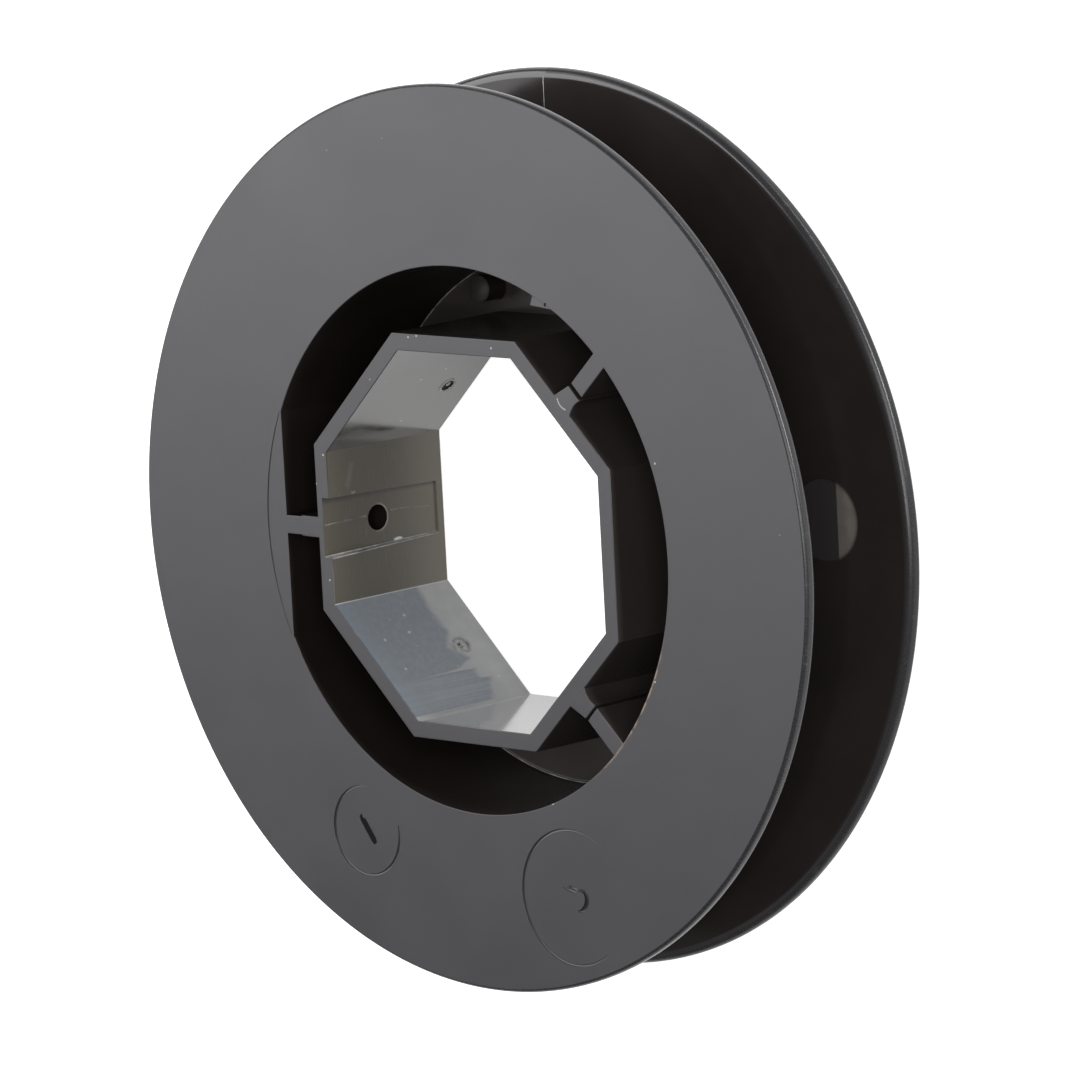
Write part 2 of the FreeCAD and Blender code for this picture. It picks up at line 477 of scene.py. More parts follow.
def socket_lead_in():
    """Cut that widens the socket at the back face."""
    below = 1
    wide = octagon((SOCKET_FLAT + SOCKET_LEAD_IN + below) * 2)
    verts = [Vector((x, y, -below)) for x, y in wide]
    verts += [Vector((x, y, SOCKET_LEAD_IN)) for x, y in octagon(SOCKET_FLAT * 2)]
    return verts, capped_faces(2, 8)


def moulding():
    """The whole moulding before its small marks."""
    obj = make_object("pulley_moulding", [turned_body()])
    boolean(obj, [flat_wall()], "UNION")
    boolean(obj, [flat_seat()], "DIFFERENCE")
    sleeve_back = octagon(SLEEVE_FACE * 2 + 2 * WIDTH * SLEEVE_SLOPE)
    tip = SLEEVE_FACE + STUB_LENGTH
    for piece in (
        rounded_prism(sleeve_back, octagon(SLEEVE_FACE * 2), 0.4, WIDTH),
        stub(1),
        stub(-1),
        bar(RIB_HALF, tip + UPPER_SLIT, WALL_MIDDLE, RIB_ANGLE),
        bar(RIB_HALF, tip + LOWER_SLIT, WALL_MIDDLE, -RIB_ANGLE),
        web_pin(),
        bar(RIB_HALF, SLEEVE_FACE - 1.3, FLAT_INSIDE + 1.0, 180),
        bar(MIDDLE_STUB_HALF, SLEEVE_FACE - 1.2, SLEEVE_FACE + MIDDLE_STUB_LENGTH, 180),
        screw_tunnel(),
    ):
        boolean(obj, [piece], "UNION")
    for piece in (flared_cut(octagon(SOCKET_FLAT * 2), 0.2, WIDTH), socket_lead_in(),
                  seam_groove(), screw_hole()):
        boolean(obj, [piece], "DIFFERENCE")
    return obj


# Marks that the mould and use left
RING_ONE = (-25.77, -49.68)
RING_ONE_RADIUS = 7.4
RING_ONE_WIDTHS = (0.07, 0.18, 0.28, 0.31, 0.31, 0.28, 0.18, 0.2, 0.26, 0.26, 0.12)
RING_TWO = (20.2, -56.1)
RING_TWO_RADIUS = 11.0
RING_TWO_WIDTHS = (0.06, 0.18, 0.25, 0.28, 0.28, 0.27, 0.26, 0.24, 0.2, 0.18, 0.09)
SLOT = ((-27.1, -47.2), (-26.7, -47.75), (-25.5, -49.45), (-24.3, -51.15), (-23.9, -51.7))
CRESCENT = ((21.5, -54.75), (22.5, -54.8), (23.1, -55.6), (23.15, -56.4), (22.8, -57.3),
            (21.9, -58.05), (21.2, -58.2))
SCRATCHES = (((18.1, -54.6), (20.9, -55.2)), ((19.3, -54.3), (21.2, -54.75)))
GATE = [(18.16, 40.6), (17.61, 39.06), (19.8, 38.83), (22.0, 38.6), (22.0, 39.4)]
GATE_PIT = (20.9, 39.27, WIDTH)
UPPER_SCAR = on_flat(135, SOCKET_FLAT, 0.1, 6.84)
LOWER_SCAR = on_flat(-135, SOCKET_FLAT, 0.37, 7.0)
DISH_RADIUS = 1.2
NUB_RADIUS = 0.55
NUB_PLACE = (0.25, -0.1)
FLANGE_MARK = (56.1, 3.8)
FLANGE_MARK_RADIUS = 6.67
# Straight shadow edge of the painted light on the ejector mark
FLANGE_MARK_LIGHT_EDGE = 58.6
PARTING_X = -0.45
DULL_RIM_RADIUS = 72.75


def scar(matrix):
    """Shallow dimple, its raised lip and the nub in it."""
    dish = lathe([(0, 0.4), (DISH_RADIUS, 0.4), (1.15, -0.1), (0.9, -0.28), (0, -0.3)])
    lip = ring_bar(1.45, 0.26, -0.03, 0.7)
    nub = lathe([(0, -0.5), (NUB_RADIUS, -0.5), (0.5, -0.08), (0.36, 0.03), (0.15, 0.07), (0, 0.08)], 20)
    shifted = matrix @ Matrix.Translation((*NUB_PLACE, 0))
    return placed(dish, matrix), placed(lip, matrix), placed(nub, shifted)


def face_marks():
    """Cuts in the front face: two witness rings, a slot, a worn crescent, scratches, an arc."""
    cuts = []
    ring = arc(RING_ONE, RING_ONE_RADIUS, 85, 372, WIDTH)
    cuts.append(score(ring, spread(len(ring), RING_ONE_WIDTHS)))
    cuts.append(score([(x, y, WIDTH) for x, y in SLOT], [0.35, 0.6, 0.64, 0.62, 0.4], 1.7))
    ring = arc(RING_TWO, RING_TWO_RADIUS, 58, 309, WIDTH)
    cuts.append(score(ring, spread(len(ring), RING_TWO_WIDTHS)))
    ring = arc(RING_TWO, RING_TWO_RADIUS, 19, 40, WIDTH)
    cuts.append(score(ring, spread(len(ring), (0.05, 0.1, 0.05)), 0.6))
    cuts.append(score([(x, y, WIDTH) for x, y in CRESCENT], taper(len(CRESCENT), 0.5, 0.14, 0.45), 1.2))
    for start, end in SCRATCHES:
        scratch = [(start[0] + (end[0] - start[0]) * i / 4, start[1] + (end[1] - start[1]) * i / 4, WIDTH)
                   for i in range(5)]
        cuts.append(score(scratch, taper(5, 0.24, 0.1), 1.3))
    # Circle that the drum's core left beside the straight wall
    ring = arc((0, 0), BORE_RADIUS + 0.25, 155.5, 204.25, WIDTH, 1.5)
    cuts.append(score(ring, taper(len(ring), 0.17, 0.1)))
    return cuts


def ejector_mark():
    """Shallow round mark in the back flange's inner face."""
    tilt = math.atan((FLANGE_ROOT - FLANGE_TIP) / (FLANGE_TIP_RADIUS - DRUM_RADIUS))
    place = Matrix.Translation((*FLANGE_MARK, flange_inside(FLANGE_MARK[0])))
    depth = 0.08
    disc = lathe([(0, 1.0), (FLANGE_MARK_RADIUS, 1.0), (FLANGE_MARK_RADIUS, -depth), (0, -depth)], 64)
    return placed(disc, place @ Matrix.Rotation(tilt, 4, "Y"))


def weld_lines():
    """Line of the melt on the seam groove's floor, interrupted by the hole: (z, y) points."""
    lines = (((27.0, 0.28), (25, 0.4), (22.5, 0.47), (19.5, 0.52), (17.4, 0.6)),
             ((12.2, 0.78), (10.2, 0.79), (7.5, 0.65), (5.0, 0.4), (3.2, 0.25)))
    return [tube([(-SOCKET_FLAT - seam_depth(z), y, min(z, WIDTH - 0.2)) for z, y in line],
                 [0.1] * len(line), normal=(1, 0, 0)) for line in lines]


def parting_ridge():
    """Parting line on the back flange, a fine ridge that goes round to its rim."""
    path = [(y, flange_inside(y) - 0.03) for y in (66.5, 68.5, 70, 71.4)]
    path += [(72.2, 2.3), (72.8, 2.08), (73.2, 1.72), (73.37, 1.3), (73.37, 0.8)]
    return tube([(PARTING_X, y, z) for y, z in path], taper(len(path), 0.13, 0.07), side=(1, 0, 0))


pulley = moulding()
cuts = face_marks() + [ejector_mark()]
added = [prism(GATE, WIDTH - 0.9, WIDTH - 0.03)]
pit = lathe([(0, 0.5), (0.34, 0.5), (0.32, -0.05), (0.18, -0.25), (0, -0.3)], 12)
cuts.append(placed(pit, Matrix.Translation(GATE_PIT)))
nubs = []
for scar_place in (UPPER_SCAR, LOWER_SCAR):
    dish, lip, nub = scar(scar_place)
    cuts.append(dish)
    added.append(lip)
    nubs.append(nub)
for radius in (1.85, 2.3):
    crescent = arc((0, 0), radius, 50, 130, 0, 10)
    lip = tube(crescent, taper(len(crescent), 0.13, 0.05), normal=(0, 0, 1), flat=0.6)
    added.append(placed(lip, LOWER_SCAR))
added += weld_lines()
added.append(parting_ridge())
boolean(pulley, added, "UNION")
boolean(pulley, cuts, "DIFFERENCE")
boolean(pulley, nubs, "UNION")

pulley.data.shade_smooth()
pulley.data.set_sharp_from_angle(angle=math.radians(38))
weighted = pulley.modifiers.new("weighted_normals", "WEIGHTED_NORMAL")
weighted.mode = "FACE_AREA"
weighted.keep_sharp = True
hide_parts(CAD_NODE)
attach(pulley, "root")


# Materials

class Nodes:
    """Short calls for a node tree."""

    def __init__(self, tree):
        self.tree = tree
        tree.nodes.clear()

    def add(self, kind, inputs=(), **settings):
        node = self.tree.nodes.new(kind)
        for key, value in settings.items():
            setattr(node, key, value)
        for key, value in dict(inputs).items():
            socket = node.inputs[key]
            if isinstance(value, bpy.types.NodeSocket):
                self.tree.links.new(value, socket)
            else:
                socket.default_value = value
        return node

    def calc(self, operation, *values, clamp=False):
        node = self.add("ShaderNodeMath", enumerate(values), operation=operation, use_clamp=clamp)
        return node.outputs[0]

    def times(self, first, *others):
        """Product of two or more values."""
        for value in others:
            first = self.calc("MULTIPLY", first, value)
        return first

    def vector(self, operation, first, second):
        return self.add("ShaderNodeVectorMath", {0: first, 1: second}, operation=operation).outputs[0]

    def length(self, vector):
        return self.add("ShaderNodeVectorMath", {0: vector}, operation="LENGTH").outputs["Value"]

    def ramp(self, value, low, high, out_low=0.0, out_high=1.0, smooth=False):
        node = self.add("ShaderNodeMapRange", {0: value, 1: low, 2: high, 3: out_low, 4: out_high},
                        interpolation_type="SMOOTHSTEP" if smooth else "LINEAR")
        return node.outputs[0]

    def mix(self, factor, a, b):
        return self.add("ShaderNodeMix", {"Factor": factor, 2: a, 3: b}).outputs[0]

    def blend(self, factor, a, b):
        return self.add("ShaderNodeMix", {0: factor, 6: a, 7: b}, data_type="RGBA").outputs[2]

    def noise(self, vector, scale, detail=2.0, roughness=0.5):
        node = self.add("ShaderNodeTexNoise", {"Vector": vector, "Scale": scale, "Detail": detail,
                                               "Roughness": roughness})
        return node.outputs["Fac"]

    def bump(self, height, distance, strength, normal=None):
        inputs = {"Height": height, "Distance": distance, "Strength": strength}
        if normal is not None:
            inputs["Normal"] = normal
        return self.add("ShaderNodeBump", inputs).outputs[0]


def new_material(name):
    material = bpy.data.materials.new(name)
    material.use_nodes = True
    return material


def rgb(red, green, blue):
    return (red, green, blue, 1)


class Plastic(Nodes):
    """Node tree on the object's own place in millimetres, with the noises that the zones use."""

    def __init__(self, name):
        self.material = new_material(name)
        super().__init__(self.material.node_tree)
        place = self.add("ShaderNodeTexCoord").outputs["Object"]
        scaled = self.add("ShaderNodeVectorMath", {0: place, "Scale": 1 / MM}, operation="SCALE")
        self.mm = scaled.outputs[0]
        axes = self.add("ShaderNodeSeparateXYZ", {0: self.mm}).outputs
        self.x, self.y, self.z = axes[0], axes[1], axes[2]
        self.blotch = self.noise(self.mm, 0.06, 3.0, 0.55)
        self.grain = self.noise(self.mm, 3.2, 3.0, 0.6)
        self.fine = self.noise(self.mm, 9.0, 2.0, 0.7)

    def colour(self, dark, pale):
        return self.blend(self.ramp(self.blotch, 0.25, 0.75), dark, pale)

    def uneven(self, value, low, high):
        """Roughness between two values that follows a noise."""
        return self.ramp(value, 0.3, 0.7, low, high)

    def cloud(self):
        return self.noise(self.mm, 0.018, 2.0)

    def specks(self, scale, share, size):
        """Sparse small dots, as a mask."""
        cells = self.add("ShaderNodeTexVoronoi", {"Vector": self.mm, "Scale": scale}).outputs
        chance = self.add("ShaderNodeSeparateColor", {0: cells["Color"]}).outputs[0]
        rare = self.calc("GREATER_THAN", chance, 1 - share)
        return self.times(self.ramp(cells["Distance"], size * 0.6, size, 1.0, 0.0), rare)

    def spot(self, centre, radius, edge=0.15, stretch=(1, 1, 1)):
        """Mask of a ball round a place, which may be stretched along the axes."""
        offset = self.vector("SUBTRACT", self.mm, centre)
        far = self.length(self.vector("MULTIPLY", offset, stretch))
        return self.ramp(far, radius - edge, radius, 1.0, 0.0, smooth=True)

    def spots(self, centres, radius, edge=0.1):
        """Mask of several balls."""
        mask = 0.0
        for centre in centres:
            mask = self.calc("MAXIMUM", self.spot(centre, radius, edge), mask)
        return mask

    def across_flat(self, degrees):
        """Place along one of the sleeve's flats, square to the axis; 0 is its middle."""
        angle = math.radians(degrees)
        return self.calc("ADD", self.times(self.x, -math.sin(angle)), self.times(self.y, math.cos(angle)))

    def curve(self, value, points, low, high, top):
        """Height that follows a few (place, height) points between two places."""
        node = self.add("ShaderNodeValToRGB", {0: self.ramp(value, low, high)})
        stops = node.color_ramp.elements
        for index, (place, height) in enumerate(points):
            share = (place - low) / (high - low)
            stop = stops[index] if index < 2 else stops.new(share)
            stop.position = share
            stop.color = rgb(height / top, height / top, height / top)
        return self.times(node.outputs[0], top)

    def finish(self, base, rough, grain, orange_peel, **sockets):
        """Shader with a fine grain and long soft waves; uniform values go on its own sockets."""
        rough = self.calc("ADD", rough, self.ramp(self.fine, 0.3, 0.7, -0.02, 0.02), clamp=True)
        height = self.calc("ADD", self.times(self.grain, 0.7), self.times(self.fine, 0.3))
        normal = self.bump(height, 0.02 * MM, grain)
        normal = self.bump(self.blotch, 0.12 * MM, orange_peel, normal)
        inputs = {"Base Color": base, "Roughness": rough, "Normal": normal}
        inputs.update(sockets)
        shader = self.add("ShaderNodeBsdfPrincipled", inputs)
        self.add("ShaderNodeOutputMaterial", {"Surface": shader.outputs[0]})
        return self.material


def flat_point(degrees, along, z):
    """Place on one of the sleeve's flats."""
    angle = math.radians(degrees)
    return (SOCKET_FLAT * math.cos(angle) - along * math.sin(angle),
            SOCKET_FLAT * math.sin(angle) + along * math.cos(angle), z)


def face_plastic():
    """Outer faces: soft sheen with a fine grain, pale flecks, a painted highlight on an arc at the upper
    stub's root, and a burr on the opening's edge.
    """
    g = Plastic("face_plastic")
    base = g.colour(rgb(0.0172, 0.0168, 0.0195), rgb(0.0218, 0.0213, 0.0245))
    base = g.blend(g.times(g.specks(0.16, 0.2, 0.03), 0.5), base, rgb(0.3, 0.3, 0.3))
    places = [(-31.0, 12.05), (-33.0, 7.2), (-32.7, 14.25), (-31.1, -8.6), (-26.8, 15.3),
              (-9.95, 32.5), (-8.1, 32.8), (8.5, 31.7), (2.9, 33.2), (42.85, 61.7), (42.8, 15.4),
              (40.45, -19.4), (16.8, -41.2)]
    flecks = g.spots([(x, y, WIDTH) for x, y in places], 0.22)
    base = g.blend(g.times(flecks, 0.7), base, rgb(0.42, 0.43, 0.44))
    # Painted highlight: a pale arc at the upper stub's root stands in for the light caught by a witness
    # line.
    stub_arc_highlight = g.spots(arc((24.6, 24.9), 2.2, 194, 254, WIDTH, 8), 0.2, 0.12)
    base = g.blend(g.times(stub_arc_highlight, 0.75), base, rgb(0.4, 0.4, 0.4))
    radius = g.length(g.vector("MULTIPLY", g.mm, (1, 1, 0)))
    burr = g.times(g.ramp(radius, BORE_RADIUS - 0.02, BORE_RADIUS + 0.1),
                   g.ramp(radius, BORE_RADIUS + 0.22, BORE_RADIUS + 0.45, 1.0, 0.0),
                   g.ramp(g.x, 26.0, 30.0), g.ramp(g.y, -11.0, -17.0),
                   g.ramp(g.noise(g.mm, 0.7, 3.0, 0.6), 0.4, 0.62),
                   g.ramp(g.z, WIDTH - 0.6, WIDTH - 0.3))
    base = g.blend(burr, base, rgb(0.24, 0.165, 0.12))
    return g.finish(base, g.ramp(g.blotch, 0.2, 0.8, 0.33, 0.4), 0.45, 0.5)


def rim_plastic():
    """Outer round of the flanges: duller, with a few rubbed places."""
    g = Plastic("rim_plastic")
    base = g.colour(rgb(0.014, 0.0142, 0.0155), rgb(0.02, 0.0205, 0.022))
    rubbed = g.ramp(g.noise(g.mm, 0.7, 3.0, 0.7), 0.6, 0.72)
    base = g.blend(g.times(rubbed, 0.15), base, rgb(0.12, 0.122, 0.125))
    rough = g.uneven(g.grain, 0.25, 0.3)
    return g.finish(base, rough, 0.08, 0.3, **{"Specular IOR Level": 0.33})


def edge_plastic():
    """Inner round of the flanges, smoother than their outer one."""
    g = Plastic("edge_plastic")
    base = g.colour(rgb(0.02, 0.0175, 0.018), rgb(0.028, 0.025, 0.0255))
    return g.finish(base, g.uneven(g.blotch, 0.14, 0.24), 0.25, 0.4)


def groove_plastic():
    """Glossy black inside of the belt groove, with a faint ejector mark whose right part is painted
    light, cut off straight by the front flange's shadow.
    """
    g = Plastic("groove_plastic")
    base = g.colour(rgb(0.0172, 0.0138, 0.0138), rgb(0.025, 0.02, 0.0202))
    centre = (*FLANGE_MARK, 2.6)
    disc = g.spot(centre, FLANGE_MARK_RADIUS + 0.05, 0.35)
    soft_disc = g.spot(centre, FLANGE_MARK_RADIUS + 0.3, 1.0)
    # Painted light: the pale right part of the ejector mark is painted as if lit, beyond the straight
    # shadow edge of the front flange. The faintly paler whole disc is the mark itself.
    half = g.ramp(g.x, FLANGE_MARK_LIGHT_EDGE - 0.12, FLANGE_MARK_LIGHT_EDGE + 0.12, smooth=True)
    cloudy = g.ramp(g.noise(g.mm, 0.45, 3.0, 0.6), 0.3, 0.7, 0.75, 1.0)
    base = g.blend(disc, base, rgb(0.036, 0.031, 0.0325))
    base = g.blend(g.times(soft_disc, half, cloudy), base, rgb(0.15, 0.136, 0.122))
    base = g.blend(g.times(g.specks(0.12, 0.15, 0.03), 0.5), base, rgb(0.3, 0.3, 0.3))
    rough = g.mix(disc, g.uneven(g.cloud(), 0.12, 0.17), 0.3)
    return g.finish(base, rough, 0.1, 0.35, **{"Specular IOR Level": 0.2})


def pocket_plastic():
    """Walls of the pockets, the web and the screw hole: black with a soft gloss, with painted light that
    makes the web and the pockets towards the right paler.
    """
    g = Plastic("pocket_plastic")
    base = g.colour(rgb(0.0098, 0.008, 0.0069), rgb(0.014, 0.0116, 0.0103))
    # Painted light: the web, and the pocket walls more and more towards the right, are painted paler
    # where light falls on them.
    lit_web = g.ramp(g.z, WEB_TOP + 0.3, WEB_TOP + 0.7, 1.0, 0.0)
    right = g.ramp(g.x, -30.0, 34.0, 0.0, 0.55, smooth=True)
    base = g.blend(g.calc("MAXIMUM", lit_web, right), base, rgb(0.04, 0.0352, 0.033))
    base = g.blend(g.times(g.specks(0.16, 0.15, 0.03), 0.5), base, rgb(0.25, 0.25, 0.25))
    rough = g.uneven(g.cloud(), 0.2, 0.28)
    return g.finish(base, rough, 0.15, 0.6, **{"Specular IOR Level": 0.1})


def pin_plastic():
    """Top of the pin on the web, a little lighter than the pocket walls."""
    g = Plastic("pin_plastic")
    base = g.colour(rgb(0.022, 0.0205, 0.0195), rgb(0.03, 0.028, 0.027))
    rough = g.uneven(g.blotch, 0.3, 0.4)
    return g.finish(base, rough, 0.3, 0.3, **{"Specular IOR Level": 0.2})


def line_plastic():
    """Weld lines, lips and the parting ridge, which are paler than the faces they stand on, and painted
    highlights along the web's fillet and the seam groove's lower edge.
    """
    g = Plastic("line_plastic")
    patchy = g.ramp(g.noise(g.mm, 0.5, 3.0, 0.6), 0.3, 0.65)
    base = g.blend(patchy, rgb(0.11, 0.108, 0.1), rgb(0.36, 0.365, 0.355))
    return g.finish(base, g.uneven(g.grain, 0.25, 0.4), 0.3, 0.3)


def bluish_film(g, place):
    """Mask and tint of the film on the lower left flat, streaked beside its torn edge, with painted shade
    that darkens it towards the front face.
    """
    edge = [(-12.6, 7.5), (-7.2, 8.1), (-2.7, 7.8), (0.3, 10.1), (3.2, 6.9), (4.7, 11.0),
            (5.0, 20.0), (5.25, 7.8), (7.3, 7.9), (7.5, 5.6), (11.6, 8.2)]
    end = g.curve(place, edge, -12.6, 12.6, 30.0)
    ragged = g.uneven(g.noise(g.mm, 0.5, 3.0, 0.6), -0.3, 0.3)
    mask = g.ramp(g.calc("SUBTRACT", g.calc("ADD", g.z, ragged), end), -0.5, 1.3, smooth=True)
    mask = g.times(mask, g.ramp(place, 11.75, 12.0, 1.0, 0.0))
    along = g.vector("MULTIPLY", g.mm, (1.9, 1.9, 0.03))
    streak = g.ramp(g.noise(along, 1.0, 3.0, 0.65), 0.38, 0.62)
    banded = g.times(g.ramp(place, 4.9, 5.3), 0.75)
    tint = g.blend(g.times(streak, banded), rgb(0.046, 0.069, 0.096), rgb(0.1, 0.128, 0.158))
    mottled = g.ramp(g.noise(g.mm, 0.9, 4.0, 0.7), 0.42, 0.66)
    tint = g.blend(g.times(mottled, 0.35), tint, rgb(0.11, 0.133, 0.155))
    # Painted shade: the film's tint is darker towards the front face.
    front = g.ramp(g.z, 19.0, 26.0, 0.0, 0.6, smooth=True)
    return mask, g.blend(front, tint, rgb(0.022, 0.034, 0.047))


def socket_plastic():
    """Flats of the sleeve: polished, with painted light on the lower flat, a bluish film on one of them
    and a few scuffs.
    """
    g = Plastic("socket_plastic")
    base = g.colour(rgb(0.012, 0.0115, 0.0105), rgb(0.02, 0.019, 0.0175))
    lower = g.ramp(g.calc("ADD", g.x, g.y), -42.0, -41.5, 1.0, 0.0)
    place = g.across_flat(-135)
    # Painted light: the lower flat is painted pale, unevenly and more so towards the back.
    worn = g.ramp(g.noise(g.mm, 0.2, 3.0, 0.6), 0.3, 0.7)
    pale = g.blend(worn, rgb(0.2, 0.205, 0.21), rgb(0.26, 0.265, 0.27))
    lower_flat_light = g.times(lower, g.ramp(g.z, 14.0, 5.0, 0.55, 1.0))
    base = g.blend(lower_flat_light, base, pale)
    film, tint = bluish_film(g, place)
    base = g.blend(g.times(film, lower), base, tint)
    corner = g.times(g.ramp(place, -12.42, -12.25, 1.0, 0.0), lower)
    base = g.blend(g.times(corner, 0.8), base, rgb(0.34, 0.35, 0.35))
    upper_scuffs = [(-2.9, 15.0), (-4.65, 10.35), (7.75, 12.6)]
    lower_scuffs = [(-3.75, 21.9), (2.5, 21.9), (-4.2, 16.0), (-7.6, 14.5), (7.85, 4.2)]
    places = [flat_point(135, along, z) for along, z in upper_scuffs]
    places += [flat_point(-135, along, z) for along, z in lower_scuffs]
    base = g.blend(g.times(g.spots(places, 0.4, 0.3), 0.55), base, rgb(0.4, 0.41, 0.42))
    base = g.blend(g.times(g.specks(0.5, 0.35, 0.09), 0.4), base, rgb(0.35, 0.36, 0.37))
    rough = g.uneven(g.noise(g.mm, 0.25, 3.0, 0.6), 0.08, 0.16)
    return g.finish(base, rough, 0.1, 0.35, **{"Coat Weight": 1.0, "Coat Roughness": 0.07})


def left_flat_plastic():
    """The sleeve's left flat with its groove: no polish, brownish, with painted light that makes it paler
    towards the back edge, and painted shade along the foot of the groove's upper wall.
    """
    g = Plastic("left_flat_plastic")
    base = g.colour(rgb(0.036, 0.0305, 0.0185), rgb(0.048, 0.041, 0.027))
    # Painted light: the flat is painted paler towards its back edge.
    base = g.blend(g.ramp(g.z, 15.0, 0.0, 0.0, 0.85, smooth=True), base, rgb(0.14, 0.128, 0.105))
    along = g.vector("MULTIPLY", g.mm, (0.1, 0.35, 2.2))
    smear = g.ramp(g.noise(along, 1.0, 3.0, 0.6), 0.58, 0.75)
    base = g.blend(g.times(smear, 0.2), base, rgb(0.16, 0.155, 0.14))
    # Painted shade along the foot of the groove's upper wall, on the groove's floor.
    wall_foot_shade = g.times(g.ramp(g.y, SEAM_BACK_HALF - 0.75, SEAM_BACK_HALF + 0.1),
                        g.ramp(g.x, -30.5, -30.3, 1.0, 0.0))
    base = g.blend(g.times(wall_foot_shade, 0.75), base, rgb(0.006, 0.005, 0.003))
    from_hole = g.vector("SUBTRACT", g.mm, (0, 0, SCREW_HEIGHT))
    from_hole = g.length(g.vector("MULTIPLY", from_hole, (0, 1, 1)))
    rim = g.times(g.ramp(from_hole, SCREW_RADIUS + 0.12, SCREW_RADIUS + 0.42, 1.0, 0.0),
                  g.ramp(g.z, 15.6, 13.4))
    base = g.blend(g.times(rim, 0.7), base, rgb(0.24, 0.225, 0.19))
    smudge = g.spots([(-SOCKET_FLAT, 9.6 - 0.6 * i, 21.3 + 0.2 * i) for i in range(6)], 0.95, 0.9)
    base = g.blend(g.times(smudge, 0.1), base, rgb(0.3, 0.29, 0.28))
    scuff = g.spots([(-SOCKET_FLAT, 5.1, 21.35), (-SOCKET_FLAT, 5.15, 20.9)], 0.35, 0.25)
    base = g.blend(g.times(scuff, 0.4), base, rgb(0.3, 0.29, 0.28))
    fleck = g.spot((-30.9, -4.15, 10.6), 0.9, 0.25, (1.0, 2.6, 0.8))
    base = g.blend(g.times(fleck, 0.9), base, rgb(0.5, 0.52, 0.52))
    rough = g.calc("ADD", g.uneven(g.cloud(), 0.13, 0.2), g.ramp(g.z, 10.0, 17.0, 0.0, 0.25, smooth=True))
    return g.finish(base, rough, 0.15, 0.5)


FINISHES = (face_plastic, rim_plastic, edge_plastic, groove_plastic, pocket_plastic, pin_plastic,
            line_plastic, socket_plastic, left_flat_plastic)
FACE, RIM, EDGE, GROOVE, POCKET, PIN, LINE, SOCKET, LEFT_FLAT = range(len(FINISHES))


def scar_zone(centre):
    """Finish of the faces in and round the two scars, or None away from them."""
    for place in (UPPER_SCAR, LOWER_SCAR):
        local = place.inverted() @ centre
        far = math.hypot(local.x, local.y)
        if far > 2.6 or abs(local.z) > 0.6:
            continue
        from_nub = math.hypot(local.x - NUB_PLACE[0], local.y - NUB_PLACE[1])
        if from_nub < NUB_RADIUS + 0.01 and local.z > -0.2:
            return LINE if place == UPPER_SCAR else SOCKET
        if far < DISH_RADIUS + 0.05 and local.z < -0.05:
            return POCKET if place == UPPER_SCAR else SOCKET
        if local.z > 0.015:
            return LINE
    return None


def left_flat_zone(centre, normal):
    """Finish of the faces of the left flat and its groove."""
    upright = abs(normal.z) < 0.6
    off_floor = centre.x > -SOCKET_FLAT - seam_depth(centre.z)
    if upright and 0.2 < normal.x < 0.98 and abs(centre.y) < 1.2 and off_floor:
        return LINE
    # Painted highlight: the rounds along the seam groove's lower edge take the pale line finish.
    if upright and normal.y > 0.2 and -SEAM_HALF - 0.3 < centre.y < -SEAM_BACK_HALF + 0.4:
        return LINE
    return LEFT_FLAT


def rim_zone(centre, normal, radius):
    """Finish of the faces of the parting ridge and the rims, or None away from them."""
    from_face = min(centre.z, WIDTH - centre.z)
    on_ridge = abs(centre.x - PARTING_X) < 0.2 and centre.y > 66 and centre.z < 3
    if on_ridge and abs(normal.x) > 0.15:
        return LINE
    if radius > DULL_RIM_RADIUS and centre.z < FLANGE_TIP and centre.x > PARTING_X:
        return RIM
    if radius > FLANGE_RADIUS - RIM_SOFT and RIM_MIDDLE < from_face < FLANGE_TIP + 0.05:
        return EDGE
    if radius > FLANGE_RADIUS - RIM_OUTER_ROUND and from_face <= RIM_MIDDLE:
        return RIM
    return None


def zone(centre, normal):
    """Which finish a face takes, from its centre in millimetres and its normal."""
    radius = math.hypot(centre.x, centre.y)
    finish = rim_zone(centre, normal, radius)
    if finish is not None:
        return finish
    if radius < SOCKET_CORNER and abs(normal.z) < 0.9:
        if centre.x < -SOCKET_FLAT + 0.05 and abs(centre.y) < 12.6:
            return left_flat_zone(centre, normal)
        finish = scar_zone(centre)
        return SOCKET if finish is None else finish
    from_pin = math.hypot(centre.x - PIN_PLACE[0], centre.y - PIN_PLACE[1])
    if from_pin < PIN_RADIUS and centre.z > PIN_TOP - 0.2:
        return PIN
    if centre.z > WIDTH - 0.7 or centre.z < 0.3:
        return FACE
    if radius < SOCKET_CORNER and centre.z < SEAM_END + 0.1:
        return LEFT_FLAT
    # Painted highlight: the middle of the web's fillet takes the pale line finish.
    if 42.5 < radius < BORE_RADIUS and 0.5 < normal.z < 0.7 and centre.z < WEB_TOP + WEB_FILLET:
        return LINE
    outwards = normal.x * centre.x + normal.y * centre.y > 0
    if radius > DRUM_RADIUS - 0.1 or (radius > FLAT_OUTSIDE - 0.1 and outwards):
        return GROOVE
    return POCKET


pulley.data.materials.clear()
for build in FINISHES:
    pulley.data.materials.append(build())
for polygon in pulley.data.polygons:
    polygon.material_index = zone(polygon.center / MM, polygon.normal)


# Floor, camera and light
WHITE = (1, 1, 1, 1)
FLOOR_GLOW = 0.72
FLOOR_GLOW_IN_GLOSS = 0.45
AMBIENT = 0.3

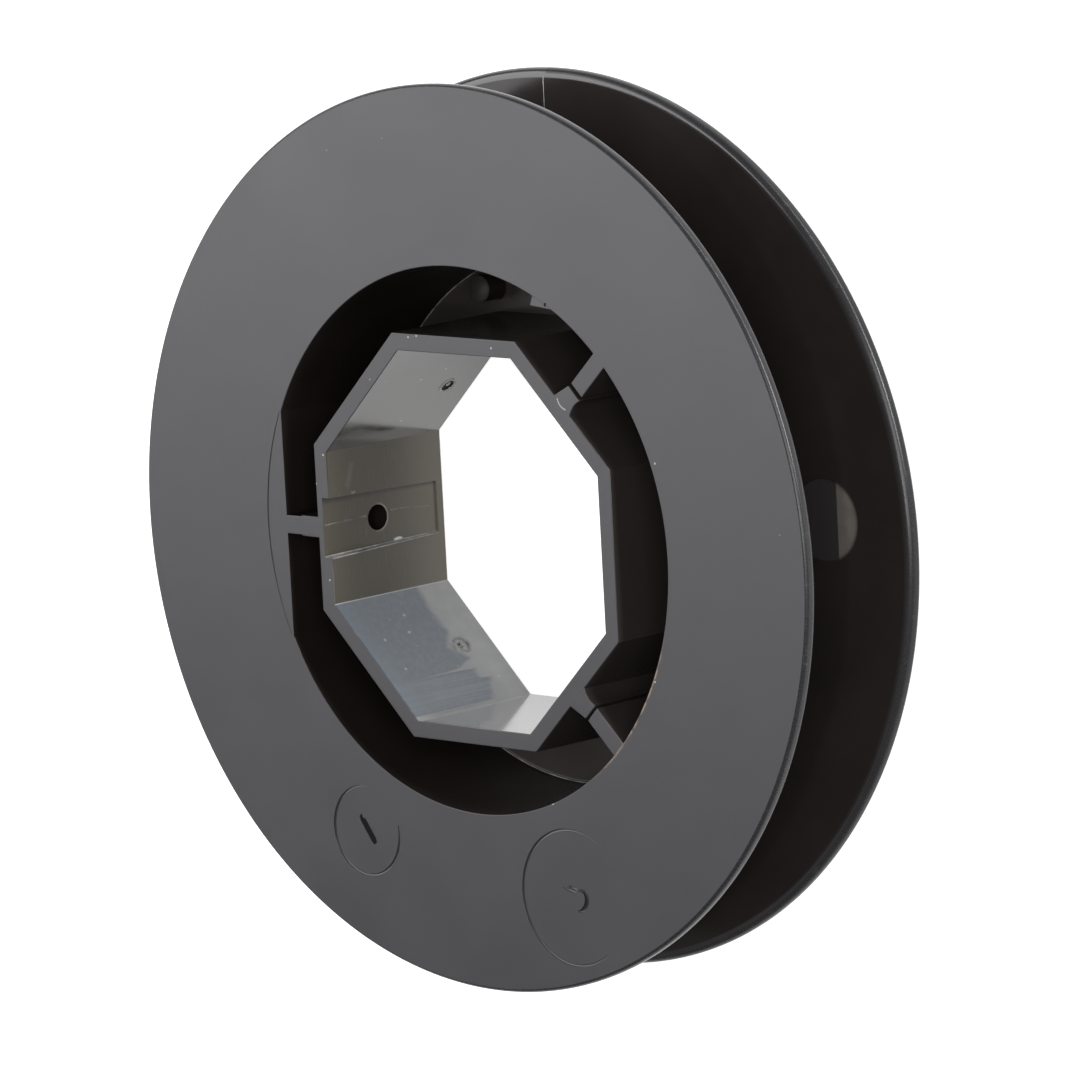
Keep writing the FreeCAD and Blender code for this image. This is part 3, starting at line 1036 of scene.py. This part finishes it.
# Name, direction, distance, width, height, radiance and colour
LAMPS = (
    ("key_softbox", (-0.65, 0.27, 0.72), 1.3, 1.1, 1.18, 4.35, (0.995, 0.985, 1.0)),
    ("broad_fill", (0.69, 0.16, 0.71), 1.6, 0.9, 0.9, 5.0, (1, 1, 1)),
    ("small_lamp", (0.53, 0.0, 0.85), 1.2, 0.035, 0.035, 350.0, (1, 0.96, 0.92)),
    ("low_strip", (0.92, 0.4, 0.08), 1.2, 0.5, 0.12, 40.0, (1, 1, 1)),
    ("low_strip_wide", (0.67, 0.74, 0.046), 1.2, 1.1, 0.1, 18.0, (1, 1, 1)),
)


def studio_floor():
    bm = bmesh.new()
    bmesh.ops.create_grid(bm, x_segments=1, y_segments=1, size=4.0)
    mesh = bpy.data.meshes.new("floor")
    bm.to_mesh(mesh)
    bm.free()
    floor = bpy.data.objects.new("floor", mesh)
    floor.location = (0, 0, -0.0002)
    bpy.context.scene.collection.objects.link(floor)
    material = new_material("floor_white")
    g = Nodes(material.node_tree)
    rays = g.add("ShaderNodeLightPath").outputs
    seen = g.calc("MAXIMUM", rays["Is Camera Ray"], rays["Is Transmission Ray"])
    strength = g.calc("MAXIMUM", g.times(seen, FLOOR_GLOW),
                      g.times(rays["Is Glossy Ray"], FLOOR_GLOW_IN_GLOSS))
    glow = g.add("ShaderNodeEmission", {"Color": WHITE, "Strength": strength})
    paint = g.add("ShaderNodeBsdfDiffuse", {"Color": rgb(0.8, 0.8, 0.8)})
    both = g.add("ShaderNodeAddShader", {0: glow.outputs[0], 1: paint.outputs[0]})
    g.add("ShaderNodeOutputMaterial", {"Surface": both.outputs[0]})
    mesh.materials.append(material)


def studio_world():
    """Plain ambient light, and a white background for the camera."""
    world = bpy.data.worlds.new("studio")
    bpy.context.scene.world = world
    world.use_nodes = True
    g = Nodes(world.node_tree)
    seen = g.add("ShaderNodeLightPath").outputs["Is Camera Ray"]
    ambient = g.add("ShaderNodeBackground", {"Color": WHITE, "Strength": AMBIENT})
    backdrop = g.add("ShaderNodeBackground", {"Color": WHITE, "Strength": 1.0})
    choose = g.add("ShaderNodeMixShader", {0: seen, 1: ambient.outputs[0], 2: backdrop.outputs[0]})
    g.add("ShaderNodeOutputWorld", {"Surface": choose.outputs[0]})


def area_light(name, direction, distance, width, height, radiance, color):
    """Rectangular lamp that looks at the pulley; its power follows from its radiance."""
    data = bpy.data.lights.new(name, "AREA")
    data.shape = "RECTANGLE"
    data.size = width
    data.size_y = height
    data.energy = radiance * math.pi * width * height
    data.color = color
    lamp = bpy.data.objects.new(name, data)
    place = Vector(direction).normalized() * distance
    lamp.location = place
    lamp.rotation_euler = place.to_track_quat("Z", "Y").to_euler()
    bpy.context.scene.collection.objects.link(lamp)


def photo_camera():
    """Camera of the photograph: its place, aim and roll in metres and degrees."""
    data = bpy.data.cameras.new("camera")
    data.lens = 248.606
    data.sensor_width = 36.0
    camera = bpy.data.objects.new("camera", data)
    location = Vector((0.829131, 0.187008, 0.864476))
    aim = Vector((0.017047, 0.001488, 0.0268))
    roll = math.radians(-3.061)
    forward = (aim - location).normalized()
    right = forward.cross(Vector((0, 1, 0))).normalized()
    up = right.cross(forward)
    axis_x = math.cos(roll) * right + math.sin(roll) * up
    axis_y = (-forward).cross(axis_x)
    turn = Matrix((axis_x, axis_y, -forward)).transposed()
    camera.matrix_world = Matrix.Translation(location) @ turn.to_4x4()
    bpy.context.scene.collection.objects.link(camera)
    bpy.context.scene.camera = camera


studio_floor()
studio_world()
photo_camera()
for lamp in LAMPS:
    area_light(*lamp)
bpy.context.scene.view_settings.view_transform = "Standard"
